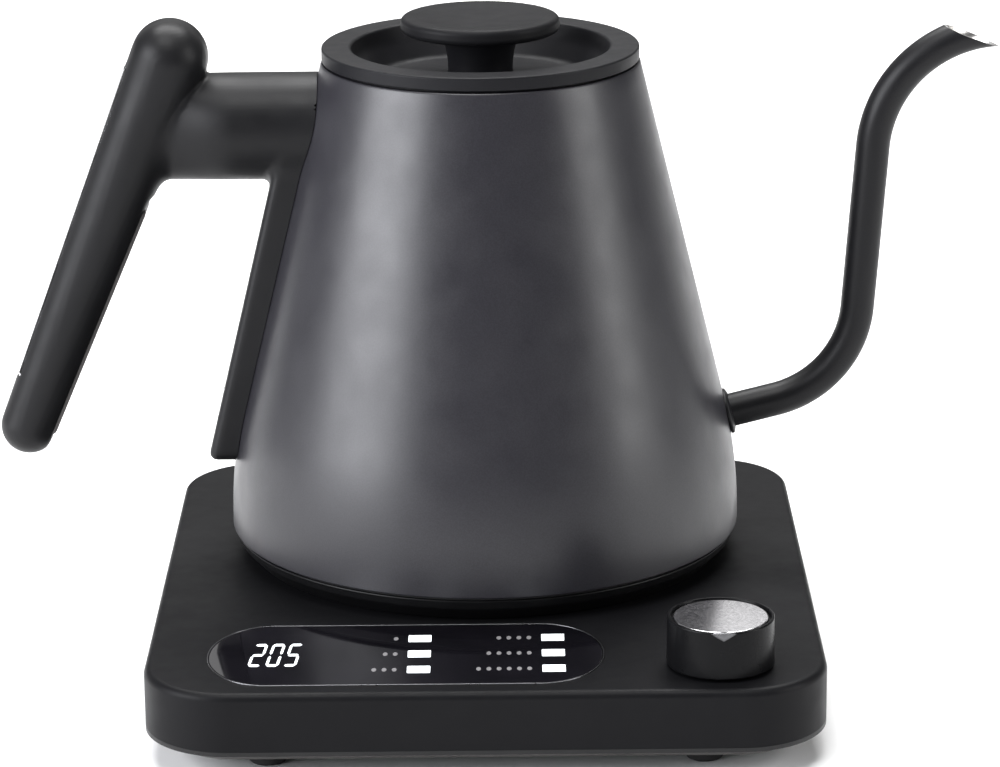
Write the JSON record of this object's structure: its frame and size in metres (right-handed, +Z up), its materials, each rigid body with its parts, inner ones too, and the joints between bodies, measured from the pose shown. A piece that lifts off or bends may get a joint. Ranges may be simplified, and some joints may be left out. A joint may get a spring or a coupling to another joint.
{
  "type": "electric kettle",
  "caption": "Gooseneck electric kettle with a conical shell, lift-off lid and curved handle, seated on a square power base with a lit readout and a rotary push knob.",
  "frame": {"origin": "on the table, under the middle of the whole object's box", "axes": "+Z up; +X from the handle to the spout; -Y towards the readout and the knob"},
  "size_m": [0.2725, 0.1914, 0.1733],
  "materials": {
    "cover_plastic": "fine moulded grain, satin black",
    "under_plastic": "fine moulded grain, black",
    "skirt_plastic": "satin black",
    "shell_paint": "matte powder coat, dark grey-black",
    "spout_paint": "matte powder coat, black",
    "handle_plastic": "satin black, lightly grained arm",
    "inner_strip": "satin dark grey-brown",
    "bright_trim": "polished",
    "lid_plastic": "satin black",
    "lid_knob_plastic": "matte black",
    "knob_plastic": "satin gloss black",
    "knob_metal": "fine spun finish",
    "window_black": "polished black",
    "readout": "lit white",
    "black_rubber": "matte",
    "clear_silicone": "translucent grey silicone",
    "stainless": "brushed",
    "zinc_steel": "bright zinc",
    "cast_alloy": "as cast",
    "element_sheath": "dull",
    "contact_brass": "plain",
    "circuit_board": "green solder mask",
    "relay_case": "blue",
    "winding_tape": "yellow tape",
    "part_black": "black",
    "terminal_green": "green",
    "wire_cover": "three wire colours",
    "encoder_case": "folded steel can",
    "connector_plastic": "satin black",
    "control_plastic": "cream heat-resisting resin"
  },
  "bodies": {
    "power_base": {"base_top_cover": "cover_plastic", "base_bottom_cover": "under_plastic", "base_feet": "black_rubber", "base_screws": "zinc_steel", "display_window": "window_black", "display_trim": "bright_trim", "display_board": "circuit_board", "digit_display": "readout", "indicator_leds": "readout", "power_board": "circuit_board", "relay": "relay_case", "transformer": "winding_tape", "filter_capacitor": "part_black", "buzzer": "part_black", "board_screws": "zinc_steel", "terminal_block": "terminal_green", "mains_leads": "wire_cover", "cord_gland": "black_rubber", "encoder_body": "encoder_case", "connector_socket": "connector_plastic", "socket_contacts": "contact_brass", "shutter_spring": "zinc_steel"},
    "encoder_rotor": {"encoder_rotor": "contact_brass"},
    "knob": {"encoder_shaft": "zinc_steel", "knob_body": "knob_plastic", "knob_cap": "knob_metal"},
    "connector_shutter": {"connector_shutter": "connector_plastic"},
    "kettle": {"kettle_shell": "shell_paint", "heater_plate": "stainless", "heat_spreader": "cast_alloy", "heating_element": "element_sheath", "element_terminals": "zinc_steel", "thermal_cutouts": "control_plastic", "temperature_sensor": "stainless", "sensor_seal": "clear_silicone", "control_housing": "control_plastic", "connector_rings": "contact_brass", "earth_pin": "stainless", "skirt_seal": "black_rubber", "base_skirt": "skirt_plastic", "skirt_screws": "zinc_steel", "spout_tube": "spout_paint", "spout_collar": "spout_paint", "handle_spine": "handle_plastic", "handle_arm": "handle_plastic", "handle_grip": "handle_plastic", "handle_inner_cover": "inner_strip", "handle_trim": "bright_trim", "handle_bolt": "zinc_steel", "spine_screw": "zinc_steel", "handle_bosses": "stainless"},
    "lid": {"lid_dish": "lid_plastic", "lid_gasket": "clear_silicone", "lid_stem": "lid_plastic", "lid_knob": "lid_knob_plastic", "lid_inner_cap": "stainless", "lid_screw": "zinc_steel"}
  },
  "joints": [
    {"name": "knob_turn", "type": "hinge", "parent": "power_base", "child": "encoder_rotor", "pos_m": [0.05695, -0.07695, 0.0157], "axis": [0, 0, 1], "continuous": true},
    {"name": "knob_press", "type": "slide", "parent": "encoder_rotor", "child": "knob", "axis": [0, 0, -1], "range_m": [0, 0.0005], "stiffness_N_per_m": 1200, "springref_m": -0.0015},
    {"name": "kettle_turn", "type": "hinge", "parent": "power_base", "child": "connector_shutter", "pos_m": [-0.00305, 0.0222, 0.026], "axis": [0, 0, 1], "continuous": true},
    {"name": "kettle_lift", "type": "slide", "parent": "connector_shutter", "child": "kettle", "axis": [0, 0, 1], "range_m": [0, 0.12]},
    {"name": "lid_lift", "type": "slide", "parent": "kettle", "child": "lid", "axis": [0, 0, 1], "range_m": [0, 0.06]}
  ]
}
